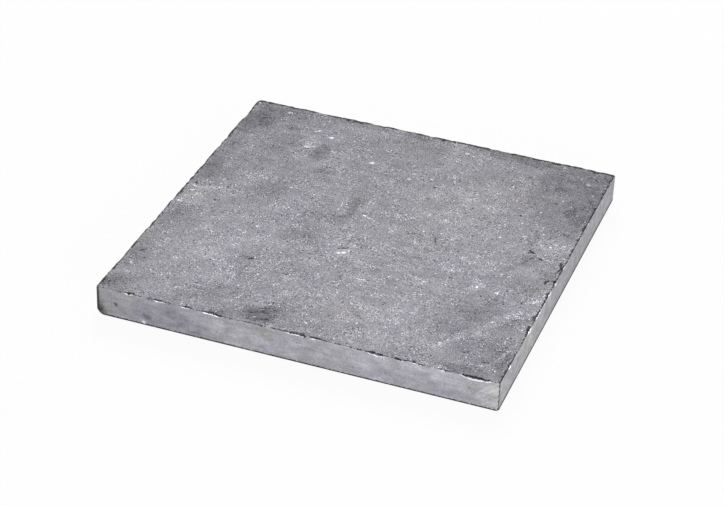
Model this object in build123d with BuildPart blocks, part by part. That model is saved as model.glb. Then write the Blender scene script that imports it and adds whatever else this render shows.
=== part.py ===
"""Square bluestone paver: one slab of fine-grained stone with a flamed top, sawn sides and a sawn bed.

X runs along the front, Y to the back and Z up. The origin is the middle of the bed face.
Shell-shaped spalls bite the four top arrises, and some corners are broken back to a rounded stub.
"""

import os
from math import cos, radians, sin, sqrt

from build123d import *

# The slab, in millimetres
length = 400.0
width = 400.0
thickness = 31.5

# How far the saw and the flame left each kind of arris eased
bed_easing = 0.8
upright_easing = 1.0
top_easing = 0.5

# Spalls were struck from above: their bites point down into the slab at this angle below level
spall_slope = 40.0

# Spalls on each top arris, from its left end as seen from outside that side:
# place along the arris as a share of it, length along it, depth square to it
front_spalls = [
    (0.085, 6.0, 1.3),
    (0.163, 7.0, 0.9),
    (0.228, 5.0, 0.8),
    (0.310, 13.0, 1.5),
    (0.492, 6.0, 1.0),
    (0.550, 12.0, 1.3),
    (0.650, 15.0, 1.0),
    (0.703, 25.0, 2.0),
    (0.760, 17.0, 1.5),
    (0.808, 14.0, 1.0),
    (0.865, 19.0, 1.2),
    (0.941, 38.0, 2.3),
]
right_spalls = [
    (0.075, 12.0, 1.6),
    (0.225, 21.0, 1.9),
    (0.305, 23.0, 1.8),
    (0.390, 23.0, 1.7),
    (0.448, 13.0, 2.6),
    (0.520, 10.0, 1.4),
    (0.662, 20.0, 1.5),
    (0.740, 15.0, 1.3),
    (0.862, 8.0, 1.2),
    (0.920, 7.0, 1.1),
    (0.957, 8.0, 1.4),
]
back_spalls = [
    (0.045, 10.0, 1.2),
    (0.210, 16.0, 0.9),
    (0.300, 18.0, 1.0),
    (0.455, 9.0, 0.8),
    (0.580, 26.0, 1.1),
    (0.705, 11.0, 0.9),
    (0.803, 30.0, 1.3),
]
left_spalls = [
    (0.088, 26.0, 1.6),
    (0.230, 12.0, 1.1),
    (0.370, 9.0, 1.2),
    (0.560, 14.0, 0.9),
    (0.668, 9.0, 1.0),
    (0.705, 12.0, 1.2),
    (0.860, 24.0, 1.1),
]

# Corner losses: how far each broken corner runs back along its edges
front_left_bed_reach = 8.0
front_right_bed_reach = 4.0
back_left_top_reach = 5.5
back_right_top_reach = 3.5
front_left_top_reach = 3.0
# Centre of the rounded stub, in from the corner along each edge, as a multiple of the reach
stub_centre_ratio = 1.25


def bite_radius(bite_length, bite_depth):
    """Radius of the sphere that cuts a bite of this length and depth into a straight arris."""
    half_length = bite_length / 2
    return (half_length**2 + bite_depth**2) / (2 * bite_depth)


def cut_spalls(spalls, start, along, outward):
    """Bites a row of spalls out of one top arris of the slab, as spheres that stand mostly outside it."""
    rise = Vector(0, 0, sin(radians(spall_slope)))
    lean = outward * cos(radians(spall_slope))
    for share, bite_length, bite_depth in spalls:
        radius = bite_radius(bite_length, bite_depth)
        centre = start + along * share + (lean + rise) * (radius - bite_depth)
        with Locations(Location(centre)):
            Sphere(radius=radius, mode=Mode.SUBTRACT)


def stub_radius(reach):
    """Radius of the rounded stub that meets the corner's three edges at the reach."""
    stub_centre = reach * stub_centre_ratio
    return sqrt((stub_centre - reach) ** 2 + 2 * stub_centre**2)


def corner_loss(reach):
    """What a broken corner has lost: a cube on the corner, hollowed by the sphere of the stub left behind."""
    stub_centre = reach * stub_centre_ratio
    with BuildPart() as loss:
        Box(2 * stub_centre, 2 * stub_centre, 2 * stub_centre)
        for signs in [(x, y, z) for x in (-1, 1) for y in (-1, 1) for z in (-1, 1)]:
            with Locations(Location(Vector(*signs) * stub_centre)):
                Sphere(radius=stub_radius(reach), mode=Mode.SUBTRACT)
    return loss.part


front_left = Vector(-length / 2, -width / 2, 0)
front_right = Vector(length / 2, -width / 2, 0)
back_right = Vector(length / 2, width / 2, 0)
back_left = Vector(-length / 2, width / 2, 0)
top = Vector(0, 0, thickness)

corner_losses = [
    (front_left, front_left_bed_reach),
    (front_right, front_right_bed_reach),
    (back_left + top, back_left_top_reach),
    (back_right + top, back_right_top_reach),
    (front_left + top, front_left_top_reach),
]

with BuildPart() as paver:
    with BuildSketch(Plane.XY):
        Rectangle(length, width)
    extrude(amount=thickness)
    fillet(paver.edges().filter_by(Axis.Z), radius=upright_easing)
    fillet(paver.faces().sort_by(Axis.Z)[0].edges(), radius=bed_easing)
    fillet(paver.faces().sort_by(Axis.Z)[-1].edges(), radius=top_easing)
    cut_spalls(front_spalls, front_left + top, front_right - front_left, Vector(0, -1, 0))
    cut_spalls(right_spalls, front_right + top, back_right - front_right, Vector(1, 0, 0))
    cut_spalls(back_spalls, back_right + top, back_left - back_right, Vector(0, 1, 0))
    cut_spalls(left_spalls, back_left + top, front_left - back_left, Vector(-1, 0, 0))
    for corner, reach in corner_losses:
        with Locations(Location(corner)):
            add(corner_loss(reach), mode=Mode.SUBTRACT)

paver.part.label = "paver"
os.makedirs("parts", exist_ok=True)
export_step(paver.part, "parts/paver.step")
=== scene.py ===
"""A square bluestone paver: a flamed top, sawn sides and bed, broken arrises and blunted corners.

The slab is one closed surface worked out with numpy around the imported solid's own box, and it stands for
that solid. X runs along the front, Y to the back and Z up; the bed face lies on the floor.
"""

import math
from functools import partial

import bpy
import numpy as np
from bpy.props import FloatProperty, FloatVectorProperty, IntProperty, PointerProperty
from mathutils import Matrix, Vector


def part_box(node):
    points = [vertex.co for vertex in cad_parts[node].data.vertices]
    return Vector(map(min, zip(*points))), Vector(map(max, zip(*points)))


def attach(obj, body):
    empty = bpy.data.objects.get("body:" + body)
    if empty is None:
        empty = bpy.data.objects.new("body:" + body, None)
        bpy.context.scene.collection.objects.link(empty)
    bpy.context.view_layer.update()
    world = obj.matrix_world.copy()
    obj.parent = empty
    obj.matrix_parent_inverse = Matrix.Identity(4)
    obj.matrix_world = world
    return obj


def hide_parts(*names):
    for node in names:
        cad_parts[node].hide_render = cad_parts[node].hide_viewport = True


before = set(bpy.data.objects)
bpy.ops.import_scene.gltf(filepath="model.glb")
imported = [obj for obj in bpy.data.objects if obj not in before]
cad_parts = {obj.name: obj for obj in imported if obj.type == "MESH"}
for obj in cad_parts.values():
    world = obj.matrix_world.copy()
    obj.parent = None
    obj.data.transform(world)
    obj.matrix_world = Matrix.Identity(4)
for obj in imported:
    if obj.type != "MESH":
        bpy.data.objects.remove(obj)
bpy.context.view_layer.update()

bl_info = {
    "name": "Bluestone paver",
    "version": (1, 0, 0),
    "blender": (4, 5, 0),
    "location": "View3D > Sidebar > Paver",
    "description": "Builds a flamed bluestone paver and the studio that it is shown in",
    "category": "Object",
}

MM = 0.001
HALF_X, HALF_Y, THICKNESS = (float(side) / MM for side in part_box("paver")[1])
SIDES = ("front", "right", "back", "left")

# Spalls on each top arris, from its left end as seen from outside that side:
# place along the arris as a share of it, length along it in mm, depth square to it in mm
SPALLS = {
    "front": [
        (0.085, 6.0, 1.3), (0.163, 7.0, 0.9), (0.228, 5.0, 0.8), (0.310, 13.0, 1.5), (0.492, 6.0, 1.0),
        (0.550, 12.0, 1.3), (0.650, 15.0, 1.0), (0.703, 25.0, 2.0), (0.760, 17.0, 1.5), (0.808, 14.0, 1.0),
        (0.865, 19.0, 1.2), (0.941, 38.0, 2.3),
    ],
    "right": [
        (0.075, 12.0, 1.6), (0.225, 21.0, 1.9), (0.305, 23.0, 1.8), (0.390, 23.0, 1.7), (0.448, 13.0, 2.6),
        (0.520, 10.0, 1.4), (0.662, 20.0, 1.5), (0.740, 15.0, 1.3), (0.862, 8.0, 1.2), (0.920, 7.0, 1.1),
        (0.957, 8.0, 1.4),
    ],
    "back": [
        (0.045, 10.0, 1.2), (0.210, 16.0, 0.9), (0.300, 18.0, 1.0), (0.455, 9.0, 0.8), (0.580, 26.0, 1.1),
        (0.705, 11.0, 0.9), (0.803, 30.0, 1.3),
    ],
    "left": [
        (0.088, 26.0, 1.6), (0.230, 12.0, 1.1), (0.370, 9.0, 1.2), (0.560, 14.0, 0.9), (0.668, 9.0, 1.0),
        (0.705, 12.0, 1.2), (0.860, 24.0, 1.1),
    ],
}
SPALL_SLOPE = math.radians(40.0)

# Broken corners: which side of X, Y and Z, and how far the break runs back along the edges, in mm
CORNER_LOSSES = [
    ((-1, -1, 0), 8.0), ((1, -1, 0), 4.0), ((-1, 1, 1), 5.5), ((1, 1, 1), 3.5), ((-1, -1, 1), 3.0),
]
STUB_CENTRE_RATIO = 1.25

# How far dirt has darkened the wearing face in from each arris, in mm
RIM_WIDTHS = {"front": 0.9, "right": 2.0, "back": 3.6, "left": 2.0}

# Bruised stretches along an arris, where crushed white stone and a painted highlight show below it: middle as
# a share of it, half length and reach down the side in mm
BRUISES_AND_GLINTS = {
    "front": [
        (0.085, 6, 2.2), (0.165, 7, 2.0), (0.230, 6, 1.6), (0.297, 12, 2.0), (0.503, 12, 1.8),
        (0.545, 18, 1.2), (0.700, 9, 1.4), (0.790, 6, 1.4), (0.940, 22, 1.4),
    ],
    "right": [
        (0.070, 5, 2.8), (0.232, 5, 2.2), (0.298, 10, 2.0), (0.395, 5, 1.6), (0.521, 5, 1.6),
        (0.700, 6, 1.4),
    ],
    "back": [(0.120, 8, 1.4), (0.450, 14, 1.4), (0.780, 9, 1.4)],
    "left": [(0.200, 7, 1.4), (0.540, 12, 1.4), (0.900, 8, 1.4)],
}

# Stains on the wearing face: centre x and y, reach along and across in mm, tone in hundredths of a stop of
# light, and for some a cast from -10, cool, to 10, warm, and a turn in degrees
TOP_STAINS = [
    (-186, 160, 24, 28, -95, -10, -20), (-172, 192, 42, 13, -62, 4), (-191, 42, 13, 24, -70, 5),
    (-192, 96, 18, 42, -42), (-150, 118, 26, 22, -28, -6), (-143, 157, 9, 6, -50),
    (-94, 124, 9, 17, -45, 6), (-80, 84, 10, 6, -35, 7), (-112, 90, 18, 9, -20, -8),
    (-118, 28, 28, 15, -34, 0, 40), (-28, 36, 8, 32, -32, 7), (-46, 4, 20, 13, -26),
    (-10, 191, 14, 9, -42, 3), (-10, 162, 60, 18, -22, 6), (-48, 112, 16, 9, -20), (-9, 132, 8, 8, -25),
    (100, 196, 66, 12, -64, 6), (174, 168, 44, 30, -70, -8), (194, 116, 20, 32, -72, -5),
    (158, 122, 24, 28, -34, 2), (136, 148, 9, 22, -22), (40, 178, 16, 12, 10, 10), (72, 64, 50, 44, 20, 8),
    (112, 130, 60, 44, 0, 7), (176, 38, 18, 22, 6, 3), (163, 8, 9, 13, -36, 5, 20),
    (193, -17, 9, 12, -36, 6), (172, -38, 22, 12, -34, 7, -10), (152, -94, 15, 28, -42, 0, -25),
    (130, -131, 17, 12, -42, -10, 20), (174, -160, 28, 24, -40, -10), (160, -193, 26, 10, -42, -4),
    (196, -172, 8, 22, -30, 8), (-39, -183, 17, 17, -80, 0, 10), (-27, -158, 5, 11, -22),
    (176, 89, 22, 21, -38, -4, -20), (158, 98, 13, 16, -18), (181, 43, 18, 19, 14, 1),
    (-90, 168, 62, 9, -12), (80, 168, 40, 10, -12), (-98, 128, 13, 12, -20), (140, 130, 15, 12, -20),
    (112, 62, 18, 16, -20), (168, 73, 11, 9, -26), (-163, 44, 15, 14, -18), (-60, -10, 16, 10, -20),
    (150, -72, 9, 13, -26), (180, -98, 20, 12, -20, 0, 20), (-132, 142, 15, 7, -22), (-10, 70, 230, 60, -3),
    (190, 66, 10, 9, -18), (150, 90, 10, 12, -14), (140, -158, 18, 10, -14), (182, -134, 14, 14, -12),
    (-80, -118, 12, 14, -20), (-12, -190, 10, 8, -22), (58, -50, 18, 14, 18), (-34, -126, 14, 16, 20),
    (-138, -170, 18, 13, 18), (-70, -168, 12, 12, 20), (110, -10, 50, 12, 12), (10, -100, 210, 100, 3),
    (192, 190, 12, 12, -20), (-192, 186, 12, 16, 20), (-150, 168, 10, 9, -24), (-24, -192, 8, 8, 24),
    (172, -190, 30, 9, -18), (52, 48, 30, 12, 14), (80, 12, 20, 10, 14), (-108, 30, 10, 9, 12),
    (-166, -54, 12, 10, -12), (-170, -90, 11, 9, -15), (-128, -150, 13, 10, 18), (30, -158, 12, 13, 17),
    (70, -172, 13, 10, 17), (193, -52, 10, 14, 36, 0, -20), (184, -78, 14, 12, 16, 0, -30),
    (176, -114, 16, 9, -36, 0, 45), (146, -136, 12, 14, -20, 0, -20), (-182, -184, 22, 17, -28),
    (-62, 192, 20, 9, -28), (34, 188, 13, 9, 30, 6), (-138, 176, 18, 10, -26),
    (-160, 70, 16, 24, -20, 0, -20), (-172, -38, 15, 13, -24), (-108, 36, 12, 13, -16),
    (72, 110, 10, 12, 16), (86, 188, 12, 9, 20), (-118, 142, 9, 16, 24, 6, 10),
    (-50, -30, 20, 14, -18, 0, 30), (-10, 14, 9, 9, -18), (190, -150, 8, 12, 20),
    (128, -98, 14, 34, -16, 0, -20), (36, -188, 12, 9, 18), (-150, -186, 20, 10, 14),
    (-70, -195, 22, 9, -34), (-192, -188, 20, 15, -60, 6), (-192, -122, 14, 40, -36, 4),
    (-190, -62, 15, 28, -34, -8), (-92, -166, 26, 15, -24), (-60, -46, 24, 16, -22, 5),
    (-140, -84, 22, 16, 0, 9), (-182, -2, 14, 17, 10, 10), (6, -78, 10, 16, -24, 4), (7, -33, 7, 7, -24),
    (-9, -52, 9, 8, 46, 8), (20, -80, 190, 80, 6), (-86, -96, 13, 9, -24), (-46, -102, 12, 12, -20),
    (60, -5, 30, 22, 0, 8), (30, -140, 30, 26, 0, 8), (112, -156, 22, 22, 0, 7), (80, -160, 36, 36, 14),
    (-125, -100, 34, 28, 10), (0, 198, 260, 26, -14), (-20, 108, 240, 58, -8),
    (152, 138, 34, 42, -10, 0, 20), (-100, 121, 17, 12, -20, 0, -30), (-194, 10, 9, 13, -26),
    (-130, -92, 11, 8, -20), (30, -72, 11, 8, -20, 0, 20), (192, 92, 9, 9, 20),
    (88, 131, 9, 12, 18, 0, -10), (33, 168, 13, 8, 20), (-104, 192, 34, 8, -14), (152, -192, 14, 8, -18),
]

# Soft veins on the wearing face, and painted shade along the ledges of a burst plate: x and y of each point
# in turn, half width in mm, tone as in the stains
TOP_VEINS_AND_LEDGE_SHADE = [
    ([-53, -181, -46, -177, -35, -174, -29, -173], 2.2, -60), ([-38, -165, -29, -166], 2, -45),
    ([-50, -185, -42, -184], 2.6, -45), ([-48, -193, -38, -191], 2.2, -60),
    ([-41, -183, -32, -184], 4, -25), ([127, -168, 146, -138, 171, -108], 4.5, 26),
    ([128, -168, 134, -155, 147, -140], 1.1, 32), ([154, -140, 160, -128], 1.5, 30),
    ([179, -178, 188, -161, 195, -133], 1.4, 55), ([161, -106, 180, -86, 187, -74], 1.4, 20),
    ([-124, -158, -100, -160], 1, 50), ([-12, 19, -2, 18], 1, 50), ([-44, 122, -34, 124], 1.2, 55),
    ([-133, 150, -126, 151], 1.4, 40), ([-116, 126, -106, 129], 2.2, 50),
    ([-197, 4, -184, 6, -167, 13], 2.2, 40), ([-194, -24, -188, -12, -180, -8], 2.4, 40),
    # The dark runs along the ledges of the burst plate near the right arris, about x 146 to 198 and y -21 to
    # 67, are painted shade
    ([170, -178, 182, -158, 196, -136], 2.6, -24), ([148, -24, 139, -44, 131, -62], 4, 20),
    ([165, -100, 184, -92, 198, -80], 3, 18), ([166, 40, 169, 29, 178, 19, 198, 18], 1.4, -40),
    ([162, 54, 167, 64, 184, 67, 197, 60], 1.6, -30), ([174, -106, 186, -99, 198, -92], 2, -30),
    ([164, 56, 168, 32, 176, 24, 198, 20], 3, 20), ([157, 60, 160, 44, 155, 34, 161, 23], 2.2, -34),
    ([163, 8, 158, -2, 152, -14, 146, -21], 2.4, -32), ([-20, 57, -26, 36, -28, 12], 3.5, -20),
    ([-150, 4, -134, 12, -128, 18], 2.2, 22), ([-126, 66, -112, 52, -118, 40, -130, 34], 3, -14),
    ([-116, -86, -104, -80], 3.5, 22), ([-112, -68, -100, -66], 3, 24), ([-132, -150, -118, -154], 4, 22),
    ([-126, -32, -90, -34, -80, -30], 1.6, 14),
]

# Cracks and scratches that dirt has filled: x and y of each point in turn, half width in mm
TOP_CRACKS = [
    ([160, 25, 165, 22], 1.6), ([171, 16, 176, 13], 1.2), ([167, 15, 164, 10], 1), ([163, 7, 159, -1], 0.8),
    ([-97, -92, -91, -98, -88, -101], 0.7), ([-86, -98, -84, -96], 1.8),
    ([-83, -99, -82, -104, -84, -112], 0.6), ([67, 10, 69, 3, 73, -4], 0.9), ([39, 6, 45, 8, 56, 12], 0.7),
    ([180, -99, 185, -95], 0.9), ([-52, -183, -43, -178, -33, -177], 0.9),
    ([-46, -172, -36, -168, -25, -170], 0.8), ([-40, -190, -28, -187], 0.8),
    ([-190, -127, -184, -122], 0.9), ([188, -140, 184, -151], 0.9), ([-13, -46, -6, -43], 1.2),
    ([174, -174, 177, -173], 0.9), ([-161, -11, -156, -9], 1), ([184, -20, 190, -19], 0.7),
    ([192, -20, 190, -24], 1.6), ([190, -25, 191, -28], 1.3), ([195, -20, 198, -19], 1.1),
    ([195, 14, 196, 9], 1.8), ([198, 5, 196, -2], 1.4), ([-98, -100, -93, -96], 0.7),
    ([-96, 133, -92, 126], 0.8), ([126, 150, 130, 146], 1), ([153, -165, 158, -163], 1),
]

# Pits: centre x and y, and radius, in mm
TOP_PITS = [
    (-191, 13, 2), (-158, 17, 1.5), (35, 101, 1.8), (133, 83, 1.8), (-9, 131, 1.2), (-148, 68, 1.3),
    (-153, 81, 1.1), (-81, 146, 1.2), (-145, 158, 1.6), (-158, 181, 1.4), (-127, 141, 1.2), (-88, -13, 1.2),
    (-169, -27, 1.3), (-114, 55, 1.1), (162, 50, 1.5), (159, 36, 1.1), (103, 18, 1.1), (-111, -126, 1.1),
    (-78, -138, 1.4), (-88, -154, 1.2), (-143, -111, 1.1), (21, -177, 1.3), (-43, -110, 1.5),
    (177, -45, 1.5), (179, -65, 1.4), (161, -53, 1.3), (-116, -156, 1.5), (57, -142, 1.1), (6, -35, 1.4),
    (159, 120, 1.4), (153, 87, 1.2), (132, 141, 1.2), (-148, 113, 1.3), (-53, 108, 1.2), (8, 101, 1.2),
    (-86, 20, 1.1), (-72, 30, 1.1),
]

# Pale flakes and crystals: centre x and y, half length and half width in mm, and a turn in degrees if any
TOP_FLECKS = [
    (-158, 186, 3.8, 2.6), (-195, 193, 4, 1.4, -20), (-98, 153, 3.2, 2.6), (-115, 125, 5.5, 1.6, -8),
    (-116, 161, 7, 1.2, 28), (-41, 122, 4.5, 1.5, 12), (-16, 117, 1.6, 1.6), (7, 118, 2.6, 1.4),
    (5, 106, 4.5, 1.3, 8), (45, 180, 3.4, 1.8), (63, 165, 1.5, 1.5), (28, 191, 1.6, 1.4),
    (109, 135, 1.7, 1.7), (164, 127, 1.7, 1.7), (148, 192, 2, 1.5), (179, 169, 3, 1.4),
    (186, 105, 3.5, 1.3, 30), (165, 140, 2.4, 1.3, -30), (80, 105, 1.4, 1.4), (127, 96, 1.5, 1.5),
    (126, 36, 1.7, 1.7), (148, 47, 2.6, 1.4, 20), (164, 58, 1.8, 1.5), (177, 39, 2, 1.5),
    (152, -60, 2.5, 3.2), (164, -51, 1.8, 1.5), (158, -52, 2, 1.3, 30), (147, -27, 1.9, 1.5),
    (132, -58, 1.4, 2.2), (139, -76, 1.6, 1.4), (190, -62, 2.4, 1.2, 30), (129, -160, 2.2, 1.1, 52),
    (134, -153, 1.8, 1, 52), (176, -180, 1.4, 1.9), (197, -181, 1.6, 1.2), (164, -109, 1.8, 1.2, 30),
    (-102, -40, 2.6, 2), (-172, 31, 1.5, 1.3), (-98, 42, 1.9, 1.6), (-190, 7, 4, 1.5, -15),
    (-189, -2, 3.5, 1.4, 25), (-192, -26, 4, 1.4, 20), (-11, -55, 2.6, 1.7), (-6, -52, 2.8, 2, 20),
    (-3, -48, 1.8, 1.3), (181, 170, 2.6, 1.3), (170, 177, 2.2, 1.3), (165, 160, 2, 1.2),
    (190, 148, 2.4, 1.2), (143, 128, 1.8, 1.4), (150, 97, 1.8, 1.4), (175, 118, 2.2, 1.2),
    (-12, 21, 4, 1.4, 6), (-40, 22, 1.9, 1.5), (-11, -20, 1.9, 1.7), (3, -38, 1.4, 1.5),
    (43, -136, 1.5, 1.5), (48, -160, 1.4, 2.2), (27, -156, 2, 1.3, -30), (4, -179, 3, 1.7, -30),
    (-187, -149, 2.4, 1.6), (-111, -159, 7.5, 1, 2), (-43, -188, 2.3, 1.6, 30), (-62, -77, 2.6, 1.3),
    (-32, -136, 1.4, 1.5),
]

# Scars of larger flakes that the flame threw off: centre x and y, reach along and across in mm,
# turn of the scar and direction of its ledge in degrees, depth in mm
FLAKE_SCARS = [
    (184, 40, 21, 28, 0, 170, 0.9), (158, -52, 26, 24, -30, 150, 0.8), (190, -72, 16, 26, 0, 160, 0.6),
    (-40, -176, 24, 17, 15, 80, 0.9), (191, -152, 17, 26, -28, 150, 0.6),
    (158, -150, 26, 50, -36, 140, 0.5), (-184, -5, 24, 22, 0, 20, 0.7), (60, -120, 34, 20, 30, 120, 0.4),
    (-116, 26, 34, 19, 35, 60, 0.6), (-26, 34, 10, 34, -8, 180, 0.5), (-150, -92, 30, 20, 50, 0, 0.4),
    (110, 140, 36, 18, 10, 90, 0.4), (-122, 148, 30, 14, -10, 100, 0.5), (44, 26, 34, 20, 20, 200, 0.4),
]

# Smudges on the front side: centre x and z, and the rest as in the stains
FRONT_SMUDGES = [
    (-184, 16, 30, 30, -36, 5, 10), (-198, 8, 6, 16, -60), (-196, 3, 7, 6, -130, 0, 40),
    (-130, 12, 30, 22, -36, -10), (-180, 15, 1.5, 1.3, -200), (-147, 11, 5, 4, -50),
    (-124, 19, 7, 5, -30, -10, -40), (-109, 13, 6, 9, -36, -10, 30), (-92, 10, 9, 7, -34, -6),
    (-100, 5, 8, 3, -30, 0, 20), (-151, 3, 2.6, 1.5, 180), (-28, 26, 16, 5, -30, 6),
    (-24, 20, 7, 5, -26, 8, 20), (21, 20, 9, 5, -26), (-4, 14, 10, 3, -20, 4), (60, 8, 20, 3, -14),
    (98, 13, 18, 4, -24, -6, -6), (128, 22, 34, 9, 12), (175, 21, 7, 5, -22, 4), (154, 8, 18, 5, -26, -4),
    (195, 16, 9, 18, 5, 6), (150, 26, 12, 3, -14),
]

# Smudges on the right side: centre y and z, and the rest as in the stains
RIGHT_SMUDGES = [
    (-120, 22, 84, 20, 15, 5.5), (80, 20, 130, 20, 4, 3.5), (60, 2, 90, 8, -20),
    (-60, 14, 16, 6, -10, 3, 20), (192, 16, 10, 20, -16),
]

# Depths that stand for "nowhere near": far outside an outline and far from an edge, in mm
OUTSIDE = -9.0
FAR = 99.0


def linear(hex_colour):
    """The sRGB colour written as #rrggbb, in the linear values that shaders use."""
    shares = [int(hex_colour[start : start + 2], 16) / 255 for start in (1, 3, 5)]
    return [share / 12.92 if share <= 0.04045 else ((share + 0.055) / 1.055) ** 2.4 for share in shares]


def smooth_step(low, high, value):
    """0 below low, 1 above high, and the cubic 3t^2 - 2t^3 of the share t between them."""
    share = np.clip((value - low) / (high - low), 0, 1)
    return share * share * (3 - 2 * share)


def lattice_noise(u, v, cell, seed):
    """Random heights from -1 to 1 on a square lattice of this cell, blended by the cubic step both ways."""
    side = 512
    heights = np.random.default_rng(seed).uniform(-1, 1, (side, side))
    column, row = np.floor(u / cell).astype(int), np.floor(v / cell).astype(int)
    across, along = smooth_step(0, 1, u / cell - column), smooth_step(0, 1, v / cell - row)
    here, beyond = column % side, (column + 1) % side
    low, high = row % side, (row + 1) % side
    near = heights[here, low] * (1 - across) + heights[beyond, low] * across
    far = heights[here, high] * (1 - across) + heights[beyond, high] * across
    return near * (1 - along) + far * along


def layered_noise(u, v, cell, layers, seed):
    """Lattice noise of this cell, plus layers of half the cell and height each, scaled back to about 1."""
    total = sum(lattice_noise(u, v, cell / 2**layer, seed + layer) / 2**layer for layer in range(layers))
    return total / (2 - 2 ** (1 - layers))


def patch_distance(u, v, centre_u, centre_v, along, across, turn):
    """Distance from a turned ellipse's centre as a share of its reach: 1 on its outline."""
    angle = math.radians(turn)
    run = (u - centre_u) * math.cos(angle) + (v - centre_v) * math.sin(angle)
    rise = (v - centre_v) * math.cos(angle) - (u - centre_u) * math.sin(angle)
    return np.hypot(run / along, rise / across)


def path_distance(x, y, path):
    """Distance from each point to the nearest of a path's straight runs."""
    nearest = np.full_like(x, np.inf)
    for x0, y0, x1, y1 in zip(path[::2], path[1::2], path[2::2], path[3::2]):
        run_x, run_y = x1 - x0, y1 - y0
        share = np.clip(((x - x0) * run_x + (y - y0) * run_y) / (run_x**2 + run_y**2), 0, 1)
        nearest = np.minimum(nearest, np.hypot(x - x0 - share * run_x, y - y0 - share * run_y))
    return nearest


def stain_facts(u, v, stains, ragged, seed):
    """Tone and cast of patches: each its own times exp(-d^4) of its distance d, in outlines bent by noise."""
    bent_u = u + ragged * layered_noise(u, v, 2.5 * ragged, 4, seed)
    bent_v = v + ragged * layered_noise(u, v, 2.5 * ragged, 4, seed + 50)
    tone, cast = np.zeros_like(u), np.zeros_like(u)
    for stain in stains:
        centre_u, centre_v, along, across, hundredths, tenths, turn = (*stain, 0, 0)[:7]
        share = np.exp(-patch_distance(bent_u, bent_v, centre_u, centre_v, along, across, turn) ** 4)
        tone += hundredths / 100 * share
        cast += tenths / 10 * share
    return tone, cast


def vein_and_ledge_shade_tone(x, y, seed):
    """Sum of the veins and the painted ledge shade, each its tone times exp(-d^2) of its distance d in half
    widths, bent by noise.
    """
    reach, cell = 2.5, 8
    bent_x = x + reach * layered_noise(x, y, cell, 3, seed)
    bent_y = y + reach * layered_noise(x, y, cell, 3, seed + 50)
    return sum(
        hundredths / 100 * np.exp(-((path_distance(bent_x, bent_y, path) / half_width) ** 2))
        for path, half_width, hundredths in TOP_VEINS_AND_LEDGE_SHADE
    )


def crack_depth(x, y):
    """How far each point lies inside the nearest crack or pit, in mm: below zero outside them."""
    depth = np.full_like(x, OUTSIDE)
    for path, half_width in TOP_CRACKS:
        depth = np.maximum(depth, half_width - path_distance(x, y, path))
    for centre_x, centre_y, radius in TOP_PITS:
        depth = np.maximum(depth, radius - np.hypot(x - centre_x, y - centre_y))
    return depth


def fleck_depth(x, y):
    """How far each point lies inside the nearest pale fleck, in mm: below zero outside them."""
    depth = np.full_like(x, OUTSIDE)
    for centre_x, centre_y, along, across, *turn in TOP_FLECKS:
        share = patch_distance(x, y, centre_x, centre_y, along, across, sum(turn))
        depth = np.maximum(depth, across * (1 - share))
    return depth


def rim_depth(x, y, seed):
    """How far each point of the wearing face lies inside the dirty rim of the nearest arris, in mm.

    The rim is as wide as its side has it, plus 0.9 of the bruise's reach, times 1 + 1.1 of a noise along it.
    """
    across = {
        "front": y + HALF_Y,
        "right": HALF_X - x,
        "back": HALF_Y - y,
        "left": x + HALF_X,
    }
    wave = 1 + 1.1 * layered_noise(x, y, 4.5, 3, seed)
    widen = 0.9 * bruise_and_glint_depth(x, y)
    return np.max([(width + widen) * wave - across[side] for side, width in RIM_WIDTHS.items()], axis=0)


def bruise_and_glint_depth(x, y):
    """How far down its side the nearest arris is bruised and carries the painted highlight, in mm, fading out
    over 0.4 of the half length.
    """
    near_side = 5
    depths = [[0.0]]
    for side, bruises in BRUISES_AND_GLINTS.items():
        start, run, outward = arris_frame(side)
        length = np.hypot(*run)
        along = ((x - start[0]) * run[0] + (y - start[1]) * run[1]) / length
        from_side = np.abs((x - start[0]) * outward[0] + (y - start[1]) * outward[1])
        for middle, half, reach in bruises:
            share = smooth_step(half, 0.6 * half, np.abs(along - middle * length))
            depths.append(reach * share * (from_side < near_side))
    return np.max(np.broadcast_arrays(*depths), axis=0)


def terraces(level):
    """Turns a smooth height into steps of 1: level over most of each, and steep over its middle third."""
    whole = np.floor(level)
    return whole + smooth_step(0.35, 0.65, level - whole)


def wearing_relief(x, y, settings):
    """Depth of the flamed face below its highest point, in mm.

    Broad swells, terraces left by thin plates that burst off, and burrs, all of layered noise; flake scars
    that are deepest under a sharp ledge on one side and run out on the other; and pits and cracks. The
    highest parts are worn level. Toward an arris the relief fades to about a third of itself.
    """
    seed = settings.seed
    swell_cell, wide_cell, narrow_cell, burr_cell, bend_cell = 90, 38, 13, 5.5, 10
    bend, ledge_width, worn_share = 3, 1.8, 0.04
    share_at_arris, fading_width = 0.35, 12
    depth = settings.swell * layered_noise(x, y, swell_cell, 3, seed)
    depth += settings.plate * terraces(3 * layered_noise(x, y, wide_cell, 4, seed + 5))
    depth += settings.plate * terraces(1.5 * layered_noise(x, y, narrow_cell, 3, seed + 6))
    depth += settings.burr * layered_noise(x, y, burr_cell, 2, seed + 10)
    bent_x = x + bend * layered_noise(x, y, bend_cell, 3, seed + 20)
    bent_y = y + bend * layered_noise(x, y, bend_cell, 3, seed + 30)
    for scar_x, scar_y, along, across, turn, ledge_turn, ledge in FLAKE_SCARS:
        distance = patch_distance(bent_x, bent_y, scar_x, scar_y, along, across, turn)
        ledge_angle = math.radians(ledge_turn)
        towards = (bent_x - scar_x) * math.cos(ledge_angle) + (bent_y - scar_y) * math.sin(ledge_angle)
        floor = smooth_step(-0.9, 0.7, towards / max(along, across))
        depth += ledge * floor * smooth_step(1.0, 1 - ledge_width / min(along, across), distance)
    depth += settings.crack * smooth_step(-0.6, 1.0, crack_depth(x, y))
    from_outline = np.minimum(HALF_X - np.abs(x), HALF_Y - np.abs(y))
    depth = np.maximum(depth - np.quantile(depth, worn_share), 0)
    return depth * (share_at_arris + (1 - share_at_arris) * smooth_step(0, fading_width, from_outline))


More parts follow.
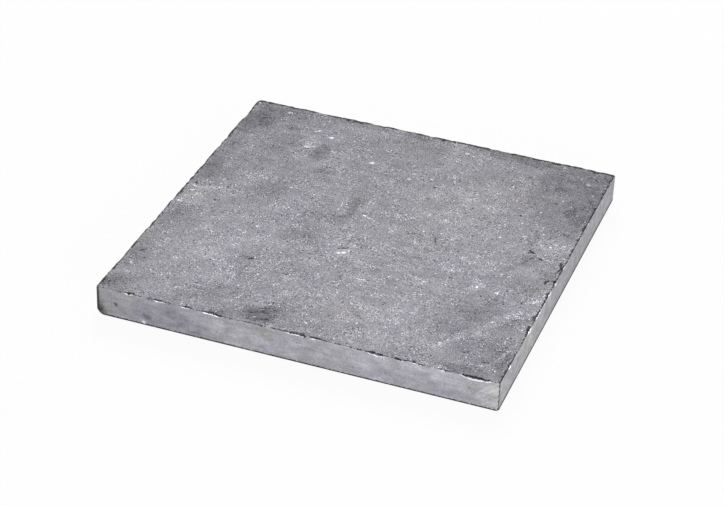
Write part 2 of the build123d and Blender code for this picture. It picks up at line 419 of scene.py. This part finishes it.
def graded_stations(half, fine, cell, growth):
    """Places from -half to half: fine steps at both ends that grow by a ratio up to the cell."""
    steps = np.minimum(cell, fine * growth ** np.arange(int(half / fine)))
    reached = np.concatenate([[0], np.cumsum(steps)])
    reached = reached[reached < half - cell / 2]
    from_edge = np.append(reached, half)
    return np.concatenate([from_edge - half, (half - from_edge)[-2::-1]])


def rounded_plan(x, y, radius):
    """Rounds the plan's four corners: nested squares about each arc's centre become nested circles."""
    run = np.maximum(np.abs(x) - (HALF_X - radius), 0)
    rise = np.maximum(np.abs(y) - (HALF_Y - radius), 0)
    both = (run > 0) & (rise > 0)
    shrink = np.where(both, np.maximum(run, rise) / np.maximum(np.hypot(run, rise), 1e-9), 1)
    round_x = np.sign(x) * (HALF_X - radius + run * shrink)
    round_y = np.sign(y) * (HALF_Y - radius + rise * shrink)
    return np.where(both, round_x, x), np.where(both, round_y, y)


def outline_indices(columns, rows):
    """Indices of the outline of a grid counted column by column, anticlockwise from its front left corner."""
    column, row = np.arange(columns), np.arange(rows)
    front = column[:-1] * rows
    right = (columns - 1) * rows + row[:-1]
    back = column[:0:-1] * rows + rows - 1
    left = row[:0:-1]
    return np.concatenate([front, right, back, left])


def arris_frame(side):
    """Start of a top arris, its run to its other end, and the level direction that faces out of that side."""
    left, right, front, back = -HALF_X, HALF_X, -HALF_Y, HALF_Y
    corners = [(left, front), (right, front), (right, back), (left, back)]
    place = SIDES.index(side)
    start, end = np.array(corners[place]), np.array(corners[(place + 1) % 4])
    run = end - start
    outward = np.array([run[1], -run[0]]) / np.hypot(*run)
    return start, run, outward


def push_out_of_spheres(points, side, spalls):
    """Carries every point that lies inside a spall's sphere straight out from its centre to its surface."""
    start, run, outward = arris_frame(side)
    for share, length, depth in spalls:
        radius = ((length / 2) ** 2 + depth**2) / (2 * depth)
        lean = (radius - depth) * math.cos(SPALL_SLOPE)
        level = start + share * run + outward * lean
        centre = np.array([level[0], level[1], THICKNESS + (radius - depth) * math.sin(SPALL_SLOPE)])
        away = points - centre
        distance = np.linalg.norm(away, axis=1)
        inside = distance < radius
        points[inside] = centre + away[inside] / distance[inside, None] * radius


def small_spalls(side, settings):
    """Random small spalls along one arris: 2.5 to 8.5 mm long, most of them short, and shallow."""
    draw = np.random.default_rng(settings.seed + 100 + SIDES.index(side))
    count = settings.small_spalls
    shares = draw.uniform(0.01, 0.99, count)
    lengths = 2.5 + 6 * draw.power(0.6, count)
    depths = lengths * draw.uniform(0.10, 0.20, count)
    return list(zip(shares, lengths, depths))


def break_corners(points):
    """Draws each broken corner's points straight in to the sphere of the stub that is left."""
    for (side_x, side_y, side_z), reach in CORNER_LOSSES:
        inwards = np.array([-side_x, -side_y, 1 - 2 * side_z])
        corner = np.array([side_x * HALF_X, side_y * HALF_Y, side_z * THICKNESS])
        into_stone = (points - corner) * inwards
        stub = reach * STUB_CENTRE_RATIO
        radius = math.sqrt((stub - reach) ** 2 + 2 * stub**2)
        distance = np.linalg.norm(into_stone - stub, axis=1)
        lost = (into_stone.max(axis=1) < stub) & (distance > radius)
        drawn_in = stub + (into_stone[lost] - stub) / distance[lost, None] * radius
        points[lost] = corner + drawn_in * inwards


def fray_arrises(points, settings):
    """Wears the top arrises back along the diagonal, by a noise that dies out within about 1.5 mm of them."""
    x, y, z = points.T
    from_x, from_y = HALF_X - np.abs(x), HALF_Y - np.abs(y)
    below = THICKNESS - z
    from_arris = np.hypot(np.minimum(from_x, from_y), below)
    cell, reach, least = 5, 0.9, 0.1
    wear = 0.45 + 0.55 * layered_noise(x + y, x - y, cell, 3, settings.seed + 40)
    wear = settings.fray * np.clip(wear, least, 1) * np.exp(-((from_arris / reach) ** 2))
    diagonal = math.sqrt(0.5)
    points[:, 0] -= np.sign(x) * wear * np.exp(-from_x) * diagonal
    points[:, 1] -= np.sign(y) * wear * np.exp(-from_y) * diagonal
    points[:, 2] -= wear * diagonal


def slab_surface(settings):
    """The closed surface: points in mm, faces, and the facts about each point that the stone's finish reads.

    The wearing face is a grid of heights. Its outline is carried down the sides, round the bed's eased
    arris and a little way in under the slab, and one flat face closes the bed.
    """
    side_cell, side_growth = 2.4, 1.3
    stain_bend, smudge_bend = 8.0, 1.5
    sawn_from, sawn_to = 172, 184
    tolerance = 0.01
    steps = (settings.fine_cell, settings.cell, settings.cell_growth)
    x_stations, y_stations = graded_stations(HALF_X, *steps), graded_stations(HALF_Y, *steps)
    columns, rows = len(x_stations), len(y_stations)
    flat_x, flat_y = (grid.ravel() for grid in np.meshgrid(x_stations, y_stations, indexing="ij"))
    relief = wearing_relief(flat_x, flat_y, settings)
    outline = outline_indices(columns, rows)
    around = len(outline)

    # Depths of the rows down the side: fine under the top arris, then coarser, with the bed easing last
    side_depths = graded_stations(THICKNESS / 2, settings.fine_cell, side_cell, side_growth) + THICKNESS / 2
    side_depths = side_depths[(side_depths > 0) & (side_depths < THICKNESS - settings.bed_easing)]
    turn = np.linspace(0, math.pi / 2, 4)
    bed_insets = settings.bed_easing * (1 - np.cos(turn))
    bed_depths = THICKNESS - settings.bed_easing * (1 - np.sin(turn))
    under_insets = np.array([4.0, 12.0])
    insets = np.concatenate([np.zeros(len(side_depths)), bed_insets, under_insets])
    depths = np.concatenate([side_depths, bed_depths, np.full(len(under_insets), THICKNESS)])

    edge_x, edge_y = flat_x[outline], flat_y[outline]
    side_sink = relief[outline][None, :] * (1 - depths / THICKNESS)[:, None]
    side_x = edge_x[None, :] * (1 - insets / HALF_X)[:, None]
    side_y = edge_y[None, :] * (1 - insets / HALF_Y)[:, None]
    x = np.concatenate([flat_x, side_x.ravel()])
    y = np.concatenate([flat_y, side_y.ravel()])
    sink = np.concatenate([relief, side_sink.ravel()])
    on_top = np.arange(len(x)) < columns * rows
    level = np.zeros(columns * rows)
    depth = np.concatenate([level, np.repeat(depths, around)])
    inset = np.concatenate([level, np.repeat(insets, around)])

    round_x, round_y = rounded_plan(x, y, settings.upright_easing)
    height = THICKNESS - depth
    points = np.stack([round_x, round_y, height], axis=1)
    before = points.copy()
    for side in SIDES:
        push_out_of_spheres(points, side, SPALLS[side] + small_spalls(side, settings))
    bite = np.linalg.norm(points - before, axis=1)
    fray_arrises(points, settings)
    before = points.copy()
    break_corners(points)
    broken = np.linalg.norm(points - before, axis=1)
    points[:, 2] -= sink

    from_outline = np.minimum(HALF_X - np.abs(x), HALF_Y - np.abs(y))
    from_uprights = np.maximum(HALF_X - np.abs(x), HALF_Y - np.abs(y))
    on_front = ~on_top & (y < inset - HALF_Y + tolerance)
    on_right = ~on_top & (x > HALF_X - inset - tolerance)
    top_tone, top_cast = stain_facts(x, y, TOP_STAINS, stain_bend, settings.seed + 60)
    front_tone, front_cast = stain_facts(x, height, FRONT_SMUDGES, smudge_bend, settings.seed + 70)
    right_tone, right_cast = stain_facts(y, height, RIGHT_SMUDGES, smudge_bend, settings.seed + 75)
    side_tone = on_front * front_tone + on_right * right_tone
    side_cast = on_front * front_cast + on_right * right_cast
    facts = {
        "arris_mm": np.where(on_top, from_outline, -depth),
        "upright_mm": np.where(on_top, FAR, from_uprights - settings.left_dirt * (x < 0)),
        # base_mm places the painted shade, a dark line along the foot of the sides, which is wider on the
        # right side
        "base_mm": np.where(on_top, FAR, height + inset - settings.right_foot_shade * on_right),
        "bite_mm": bite,
        "broken_mm": broken,
        "rim_mm": np.where(on_top, rim_depth(x, y, settings.seed + 80), OUTSIDE),
        "bruise_mm": bruise_and_glint_depth(x, y),
        # On the top this tone holds the stains, the veins and the painted shade along the burst plate's
        # ledges
        "stain_tone": np.where(on_top, top_tone + vein_and_ledge_shade_tone(x, y, settings.seed + 65), side_tone),
        "stain_cast": np.where(on_top, top_cast, side_cast),
        "crack_mm": np.where(on_top, crack_depth(x, y), OUTSIDE),
        "fleck_mm": np.where(on_top, fleck_depth(x, y), OUTSIDE),
        "saw_share": on_front * smooth_step(sawn_from, sawn_to, x),
    }

    grid = np.arange(columns * rows).reshape(columns, rows)
    near, far = grid[:-1, :-1].ravel(), grid[1:, :-1].ravel()
    top_faces = np.stack([near, far, grid[1:, 1:].ravel(), grid[:-1, 1:].ravel()], axis=1)
    rings = np.concatenate([[outline], columns * rows + np.arange(len(depths) * around).reshape(-1, around)])
    upper, lower = rings[:-1], rings[1:]
    next_upper, next_lower = np.roll(upper, -1, axis=1), np.roll(lower, -1, axis=1)
    side_faces = np.stack([upper.ravel(), lower.ravel(), next_lower.ravel(), next_upper.ravel()], axis=1)
    faces = top_faces.tolist() + side_faces.tolist() + [rings[-1][::-1].tolist()]
    return points, faces, facts


def add_node(tree, kind, inputs=(), settings=()):
    """Adds one shader node and gives its outputs. Inputs that are sockets are linked, plain values set."""
    node = tree.nodes.new("ShaderNode" + kind)
    for name, value in dict(settings).items():
        setattr(node, name, value)
    for name, value in dict(inputs).items():
        if isinstance(value, bpy.types.NodeSocket):
            tree.links.new(node.inputs[name], value)
        else:
            node.inputs[name].default_value = value
    return node.outputs


def into_nodes_of(owner):
    """Empties the owner's node tree and gives the call that adds a node to it."""
    owner.use_nodes = True
    owner.node_tree.nodes.clear()
    return partial(add_node, owner.node_tree)


def bluestone(colours, grain, facts):
    """Bluestone, a fine-grained dark stone: flamed on top, sawn on its sides and bed.

    The flame bursts the surface into grains and thin plates, so the top is matt, speckled and stained. The
    saw leaves the sides smoother and paler, with drawn-out streaks. Broken arrises hold dirt and painted
    shade in their hollows, and show crushed white stone with a painted highlight along their lower lip.
    Painted shade darkens the foot of the sides and the ledges of a burst plate. Tones are in stops: the
    colour times 2 to the tone.
    """
    material = bpy.data.materials.new("Flamed and sawn bluestone")
    add = into_nodes_of(material)
    times, times_plus, rgb = {"operation": "MULTIPLY"}, {"operation": "MULTIPLY_ADD"}, {"data_type": "RGBA"}
    place = add("TexCoord")["Object"]
    field = {name: add("Attribute", (), {"attribute_name": name})["Fac"] for name in facts}

    # Noises: the width of their lumps in mm, layers of detail and, for some, how far they are drawn out
    noises = {
        "grains": (grain.grains, 1),
        "clusters": (grain.clusters, 2),
        "plates": (grain.plates, 4, (0.5, 1, 1)),
        "patches": (grain.patches, 3),
        "mottle": (grain.mottle, 3, (0.7, 1, 1)),
        "clouds": (grain.clouds, 3),
        "tints": (36, 2),
        "ragged": (2.4, 2),
        "patchy": (8, 2),
        "streaks": (1.6, 3, (0.18, 0.18, 1)),
        "bands": (6, 4, (0.4, 0.4, 1)),
    }
    noise_roughness = 0.6
    for index, (name, (width, detail, *drawn_out)) in enumerate(noises.items()):
        shift = (index, 2 * index, 3 * index)
        stretch = (*drawn_out, (1, 1, 1))[0]
        moved = add("Mapping", {"Vector": place, "Location": shift, "Scale": stretch})[0]
        inputs = {"Vector": moved, "Scale": 1 / (width * MM), "Detail": detail, "Roughness": noise_roughness}
        field[name] = add("TexNoise", inputs)["Fac"]

    # Scattered crystals and pinholes: the middles of some of the cells that random points claim.
    # Each has its spacing in mm, its reach as a share of that, and the share of cells that have none
    scatters = {
        "crystals": (grain.crystal_spacing, 0.42, 0.55),
        "pinholes": (grain.pinhole_spacing, 0.28, 0.60),
    }
    for name, (spacing, reach, scarcity) in scatters.items():
        cells = add("TexVoronoi", {"Vector": place, "Scale": 1 / (spacing * MM)})
        inputs = {"Value": cells["Distance"], "From Min": reach, "From Max": reach / 2}
        middle = add("MapRange", inputs)[0]
        draw = add("SeparateColor", {0: cells["Color"]})[0]
        chosen = add("MapRange", {"Value": draw, "From Min": scarcity, "From Max": 1})[0]
        field[name] = add("Math", {0: middle, 1: chosen}, times)[0]

    # Faint arcs that the saw left, rising to the right. A wave of scale 1 repeats every tau / 20
    saw_spacing, saw_angle = 4.5 * MM, math.radians(38)
    slanted = add("Mapping", {"Vector": place, "Rotation": (0, saw_angle, 0)})[0]
    inputs = {"Scale": math.tau / 20 / saw_spacing, "Distortion": 6, "Detail": 2, "Detail Scale": 0.4}
    field["saw_marks"] = add("TexWave", {"Vector": slanted, **inputs}, {"bands_direction": "Z"})["Fac"]

    # Ragged distances. A sum starts from its first value; a noise adds its weight times its height about 0
    sums = {
        "skin_sum": (0, {"arris_mm": 1, "ragged": 2.6}),
        "hollow_sum": (-0.7, {"bite_mm": 1, "ragged": 4.6}),
        "ledge_sum": (0, {"arris_mm": 1, "ragged": 4}),
        "crushed_sum": (-0.05, {"bite_mm": 1, "ragged": 0.6}),
        "stub_sum": (-0.8, {"broken_mm": 1, "ragged": 4}),
        "rim_sum": (-0.2, {"rim_mm": 1, "ragged": 6, "patchy": 4}),
        "lip_sum": (0, {"arris_mm": 1, "ragged": 1.2}),
        "bruised_sum": (-0.6, {"arris_mm": 1, "bruise_mm": 1.1, "bite_mm": 0.35, "ragged": 3, "patchy": 3}),
        "base_sum": (-0.1, {"base_mm": 1, "ragged": 3.2}),
        "upright_sum": (0, {"upright_mm": 1, "ragged": 3.2}),
        "crack_sum": (-0.25, {"crack_mm": 1, "ragged": 3.6}),
        "fleck_sum": (0, {"fleck_mm": 1, "ragged": 2.2}),
        "sawn_sum": (0, {"saw_share": 1, "patchy": 0.6}),
        "warmth": (0.15, {"stain_cast": 0.5, "tints": 0.7}),
    }
    # Masks: what they follow, and its values where they are 0 and 1
    masks = {
        "skin": ("skin_sum", -0.15, 0.25),
        "hollow": ("hollow_sum", 0, 0.3),
        "above": ("ledge_sum", -1.5, -1),
        "crushed": ("crushed_sum", 0, 0.2),
        "under": ("ledge_sum", -1, -1.5),
        "rim": ("rim_sum", -0.1, 0.4),
        "below": ("arris_mm", 0.1, -0.3),
        "lip": ("lip_sum", -1.6, -0.8),
        "bruised": ("bruised_sum", 0, 0.4),
        # The next one is painted shade: a dark line along the foot of the sides, where they meet the floor
        "base": ("base_sum", 2.1, 1.3),
        "upright": ("upright_sum", 1.1, 0.6),
        "stub": ("stub_sum", 0, 0.6),
        "crack": ("crack_sum", -0.2, 0.4),
        "fleck": ("fleck_sum", 0.1, 0.5),
        "sawing": ("sawn_sum", 0.2, 1),
        "plate_edge": ("plates", 0.46, 0.54),
        "busy": ("patches", 0.44, 0.58),
    }
    # Products of two values
    products = {
        # The next one darkens the hollows of the spalls: painted shade, with dirt
        "hollow_shade_and_dirt": ("hollow", "above"),
        # The next three make the pale line under a top arris: painted highlight, with crushed white stone
        "lip_below": ("lip", "below"),
        "glint": ("bruised", "below"),
        "crushed_below": ("crushed", "under"),
        "busy_stain": ("stain_tone", "busy"),
        "busy_grains": ("grains", "busy"),
        "busy_crystals": ("crystals", "busy"),
        "rubbed": ("sawing", "saw_marks"),
    }
    # The tones of the two finishes, in stops, and the height of the bump as a share of its relief
    tones = {
        "flamed_tone": (
            0.02,
            {
                "grains": grain.grain_tone, "clusters": grain.cluster_tone, "plates": grain.plate_tone,
                "mottle": grain.mottle_tone, "clouds": grain.cloud_tone, "busy_grains": grain.busy_tone,
                "busy": -grain.busy_tone / 2, "crystals": 0.95, "busy_crystals": 0.8, "pinholes": -2.6,
                "stain_tone": 0.7, "busy_stain": 0.6, "crack": -2.8, "fleck": 1.35, "rim": -2.4,
            },
        ),
        "sawn_tone": (
            0,
            {
                "grains": 1.1, "clusters": 0.4, "streaks": 0.9, "bands": 1.3, "patches": 0.9, "clouds": 0.3,
                # In the sawn tone, the pale lines under the top arris are painted highlight with crushed
                # white stone, and the dark line at the foot is painted shade
                "pinholes": -0.7, "rubbed": 0.25, "stain_tone": 0.5, "busy_stain": 1, "lip_below": 0.15,
                "glint": 1.5, "crushed_below": 1.2, "base": -3.5, "upright": -2.2, "stub": -1.2,
            },
        ),
        "bump_height": (0, {"grains": 0.5, "clusters": 0.8, "plate_edge": 0.8, "pinholes": -0.5}),
    }

    for table in (sums, masks, products, tones):
        for name, entry in table.items():
            if table is masks:
                source, low, high = entry
                inputs = {"Value": field[source], "From Min": low, "From Max": high}
                total = add("MapRange", inputs)[0]
            elif table is products:
                first, second = entry
                total = add("Math", {0: field[first], 1: field[second]}, times)[0]
            else:
                start, weights = entry
                total = start - sum(weight / 2 for part, weight in weights.items() if part in noises)
                for part, weight in weights.items():
                    total = add("Math", {0: field[part], 1: weight, 2: total}, times_plus)[0]
            field[name] = total

    skin = field["skin"]
    # Painted shade, with dirt, darkens the spall hollows by this many stops
    hollow_shade_and_dirt_tone = -2.9
    tone = add("Mix", {0: skin, 2: field["sawn_tone"], 3: field["flamed_tone"]})[0]
    tone = add("Math", {0: field["hollow_shade_and_dirt"], 1: hollow_shade_and_dirt_tone, 2: tone}, times_plus)[0]
    brightness = add("Math", {0: 2.0, 1: tone}, {"operation": "POWER"})[0]
    finishes = []
    for cool, warm in ((colours.sawn_cool, colours.sawn_warm), (colours.flamed_cool, colours.flamed_warm)):
        finishes.append(add("Mix", {0: field["warmth"], 6: (*cool, 1), 7: (*warm, 1)}, rgb)[2])
    both = add("Mix", {0: skin, 6: finishes[0], 7: finishes[1]}, rgb)[2]
    surface = add("VectorMath", {0: both, "Scale": brightness}, {"operation": "SCALE"})[0]

    scratch_height = 0.12
    sawn_roughness, flamed_roughness = 0.62, 0.85
    burrs = add("Math", {0: field["bump_height"], 1: skin}, times)[0]
    height = add("Math", {0: field["streaks"], 1: scratch_height, 2: burrs}, times_plus)[0]
    bump = add("Bump", {"Height": height, "Strength": 1.0, "Distance": grain.relief * MM})[0]
    inputs = {"Value": skin, "To Min": sawn_roughness, "To Max": flamed_roughness}
    roughness = add("MapRange", inputs)[0]
    inputs = {"Base Color": surface, "Roughness": roughness, "Normal": bump, "IOR": 1.5}
    shader = add("BsdfPrincipled", {**inputs, "Specular IOR Level": 0.35})[0]
    add("OutputMaterial", {"Surface": shader})
    return material


def number(name, description, default, **limits):
    """A property that holds a number, with its limits, unit and subtype if it has any."""
    return FloatProperty(name=name, description=description, default=default, **limits)


def tint(name, description, hex_colour):
    """A property that holds a colour, with its default as #rrggbb."""
    colour = linear(hex_colour)
    return FloatVectorProperty(name=name, description=description, subtype="COLOR", default=colour)


class SlabSettings(bpy.types.PropertyGroup):
    """Sizes of the slab's surface, in millimetres."""

    cell: number("Cell", "Widest step of the wearing face's grid, mm", 1.6, min=1.2)
    fine_cell: number("Fine cell", "Step of the grid beside an arris, mm", 0.45, min=0.2)
    cell_growth: number("Cell growth", "Ratio of each step to the one before", 1.25)
    swell: number("Swell", "Height of the flamed face's broad swells, mm", 0.35)
    plate: number("Plate", "Thickness of the plates that burst off, mm", 0.34)
    burr: number("Burr", "Height of the flamed face's burrs, mm", 0.14)
    crack: number("Crack", "Depth of the cracks and pits, mm", 0.9)
    bed_easing: number("Bed easing", "Radius of the bed's arris, mm", 0.8)
    upright_easing: number("Upright easing", "Radius of the upright arrises, mm", 1.0)
    fray: number("Fray", "How far the top arrises are worn back, mm", 0.7)
    left_dirt: number("Left dirt", "More dirt beside the left upright arrises, mm", 2.0)
    # This setting widens the painted shade along the foot of the right side
    right_foot_shade: number("Right foot shade", "Wider painted shade along the foot of the right side, mm", 1.6)
    small_spalls: IntProperty(name="Small spalls", description="Chips on each top arris", default=34, min=0)
    seed: IntProperty(name="Seed", description="Start of the random relief", default=7)


class GrainSettings(bpy.types.PropertyGroup):
    """Widths of the stone's pattern in millimetres, and strengths of its tones in stops."""

    grains: number("Grains", "Width of the smallest grains, mm", 1.1)
    clusters: number("Clusters", "Width of the clusters of grains, mm", 2.8)
    plates: number("Plates", "Width of the burst plates, mm", 11.0)
    patches: number("Patches", "Width of the patches of rougher grain, mm", 13.0)
    mottle: number("Mottle", "Width of the mottled spots, mm", 16.0)
    clouds: number("Clouds", "Width of the clouded areas, mm", 48.0)
    crystal_spacing: number("Crystals", "Distance between bright crystals, mm", 2.2)
    pinhole_spacing: number("Pinholes", "Distance between dark pinholes, mm", 4.0)
    grain_tone: number("Grain tone", "Contrast of the grains, stops", 3.05)
    busy_tone: number("Busy tone", "More contrast in the rougher patches, stops", 3.4)
    cluster_tone: number("Cluster tone", "Contrast of the clusters, stops", 1.0)
    plate_tone: number("Plate tone", "Contrast of the plates, stops", 0.55)
    mottle_tone: number("Mottle tone", "Contrast of the mottle, stops", 0.65)
    cloud_tone: number("Cloud tone", "Contrast of the clouds, stops", 0.8)
    relief: number("Relief", "Height of the grain's bump, mm", 0.5)


class StoneColours(bpy.types.PropertyGroup):
    """Colours of the stone, from its cool to its warm parts."""

    flamed_cool: tint("Flamed, cool", "Flamed top where it is bluish", "#9A99A1")
    flamed_warm: tint("Flamed, warm", "Flamed top where it is greyish", "#9D9B9D")
    sawn_cool: tint("Sawn, cool", "Sawn sides where they are bluish", "#A3A2AC")
    sawn_warm: tint("Sawn, warm", "Sawn sides where they are greyish", "#AAA9A3")


class StageSettings(bpy.types.PropertyGroup):
    """The camera, the lamps and the floor."""

    azimuth: number("Azimuth", "Turn of the camera to the right", math.radians(19.109), subtype="ANGLE")
    elevation: number("Elevation", "Angle of the camera above level", math.radians(32.593), subtype="ANGLE")
    roll: number("Roll", "Tilt of the camera to the left", math.radians(2.325), subtype="ANGLE")
    distance: number("Distance", "From the camera to its aim", 2.16925, subtype="DISTANCE", unit="LENGTH")
    aim: FloatVectorProperty(
        name="Aim", description="Point that the camera looks at", subtype="TRANSLATION", unit="LENGTH",
        default=(0.01071, -0.04616, THICKNESS * MM),
    )
    lens: number("Lens", "Focal length on a 36 mm wide sensor, mm", 110.93)
    sky: number("Sky", "Strength of the even light from all round", 0.5)
    key: number("Key", "Power of the lamp behind", 155.0, subtype="POWER", unit="POWER")
    fill: number("Fill", "Power of the low lamp in front", 22.0, subtype="POWER", unit="POWER")
    paper_glow: number("Paper glow", "Share of plain white in the floor that the camera sees", 0.93)
    floor: tint("Floor", "Colour of the floor", "#F4F4F4")


class PAVER_OT_slab(bpy.types.Operator):
    """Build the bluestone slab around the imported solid's box"""

    bl_idname = "paver.slab"
    bl_label = "Build slab"

    def execute(self, context):
        scene = context.scene
        points, faces, facts = slab_surface(scene.paver_slab)
        mesh = bpy.data.meshes.new("bluestone_slab")
        mesh.from_pydata(points * MM, [], faces)
        mesh.polygons.foreach_set("use_smooth", np.array([len(face) == 4 for face in faces]))
        for name, values in facts.items():
            mesh.attributes.new(name, "FLOAT", "POINT").data.foreach_set("value", values.astype(np.float32))
        mesh.materials.append(bluestone(scene.paver_colours, scene.paver_grain, facts))
        mesh.update()
        slab = bpy.data.objects.new("bluestone_slab", mesh)
        scene.collection.objects.link(slab)
        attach(slab, "root")
        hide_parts("paver")
        return {"FINISHED"}


class PAVER_OT_stage(bpy.types.Operator):
    """Set out the floor, the light and the camera"""

    bl_idname = "paver.stage"
    bl_label = "Set stage"

    def execute(self, context):
        scene = context.scene
        settings = scene.paver_stage
        self.add_floor(scene, settings)
        self.add_sky(scene, settings)
        # Each softbox's place and sides, in metres, and its power
        softboxes = {
            "softbox behind": ((-1.1, 3.74, 3.3), (2.6, 1.8), settings.key),
            "softbox in front": ((1.15, -1.88, 0.45), (1.4, 0.7), settings.fill),
        }
        for name, softbox in softboxes.items():
            self.add_softbox(scene, name, *softbox)
        self.add_camera(scene, settings)
        scene.view_settings.view_transform = "Standard"
        return {"FINISHED"}

    def add_floor(self, scene, settings):
        """White paper that catches the object's shadow. What the camera sees of it is mostly plain white."""
        half = 6.0
        corners = [(x * half, y * half, 0) for x, y in ((-1, -1), (1, -1), (1, 1), (-1, 1))]
        mesh = bpy.data.meshes.new("floor")
        mesh.from_pydata(corners, [], [(0, 1, 2, 3)])
        material = bpy.data.materials.new("White studio paper")
        add = into_nodes_of(material)
        rays = add("LightPath")
        seen = rays["Is Camera Ray"]
        for ray in ("Is Glossy Ray", "Is Transmission Ray"):
            seen = add("Math", {0: seen, 1: rays[ray]}, {"operation": "MAXIMUM"})[0]
        share = add("Math", {0: seen, 1: settings.paper_glow}, {"operation": "MULTIPLY"})[0]
        paper = add("BsdfDiffuse", {"Color": (*settings.floor, 1)})[0]
        white = add("Emission", {"Color": (1, 1, 1, 1), "Strength": 1.0})[0]
        mixed = add("MixShader", {0: share, 1: paper, 2: white})[0]
        add("OutputMaterial", {"Surface": mixed})
        mesh.materials.append(material)
        floor = bpy.data.objects.new("floor", mesh)
        scene.collection.objects.link(floor)

    def add_sky(self, scene, settings):
        """Even light from all round, which the camera sees as plain white."""
        world = bpy.data.worlds.new("Even white light")
        add = into_nodes_of(world)
        seen = add("LightPath")["Is Camera Ray"]
        strength = add("MapRange", {"Value": seen, "To Min": settings.sky, "To Max": 1.0})[0]
        sky = add("Background", {"Color": (1, 1, 1, 1), "Strength": strength})[0]
        add("OutputWorld", {"Surface": sky})
        scene.world = world

    def add_softbox(self, scene, name, stand, size, power):
        """A rectangular lamp on its stand, turned to the middle of the slab."""
        lamp = bpy.data.lights.new(name, "AREA")
        lamp.shape = "RECTANGLE"
        lamp.size, lamp.size_y = size
        lamp.energy = power
        softbox = bpy.data.objects.new(name, lamp)
        away = Vector(stand)
        softbox.matrix_world = Matrix.Translation(away) @ away.to_track_quat("Z", "Y").to_matrix().to_4x4()
        scene.collection.objects.link(softbox)

    def add_camera(self, scene, settings):
        """A long lens at the photograph's viewing angle."""
        camera = bpy.data.cameras.new("camera")
        camera.sensor_width = 36.0
        camera.lens = settings.lens
        azimuth, elevation = settings.azimuth, settings.elevation
        level = math.cos(elevation)
        back = Vector((math.sin(azimuth) * level, -math.cos(azimuth) * level, math.sin(elevation)))
        turn = back.to_track_quat("Z", "Y").to_matrix().to_4x4() @ Matrix.Rotation(settings.roll, 4, "Z")
        stand = bpy.data.objects.new("camera", camera)
        stand.matrix_world = Matrix.Translation(Vector(settings.aim) + back * settings.distance) @ turn
        scene.collection.objects.link(stand)
        scene.camera = stand


class PAVER_PT_sidebar(bpy.types.Panel):
    """The paver's sizes, grain, colours and stage"""

    bl_idname = "PAVER_PT_sidebar"
    bl_label = "Bluestone paver"
    bl_space_type = "VIEW_3D"
    bl_region_type = "UI"
    bl_category = "Paver"

    def draw(self, context):
        scene = context.scene
        for group in (scene.paver_slab, scene.paver_grain, scene.paver_colours, scene.paver_stage):
            column = self.layout.column(align=True)
            for name in group.__annotations__:
                column.prop(group, name)
        self.layout.operator(PAVER_OT_slab.bl_idname)
        self.layout.operator(PAVER_OT_stage.bl_idname)


GROUPS = {
    "paver_slab": SlabSettings,
    "paver_grain": GrainSettings,
    "paver_colours": StoneColours,
    "paver_stage": StageSettings,
}
CLASSES = (*GROUPS.values(), PAVER_OT_slab, PAVER_OT_stage, PAVER_PT_sidebar)


def register():
    for cls in CLASSES:
        bpy.utils.register_class(cls)
    for name, group in GROUPS.items():
        setattr(bpy.types.Scene, name, PointerProperty(type=group))


def unregister():
    for name in GROUPS:
        delattr(bpy.types.Scene, name)
    for cls in reversed(CLASSES):
        bpy.utils.unregister_class(cls)


def main():
    register()
    bpy.ops.paver.slab()
    bpy.ops.paver.stage()


if __name__ == "__main__":
    main()
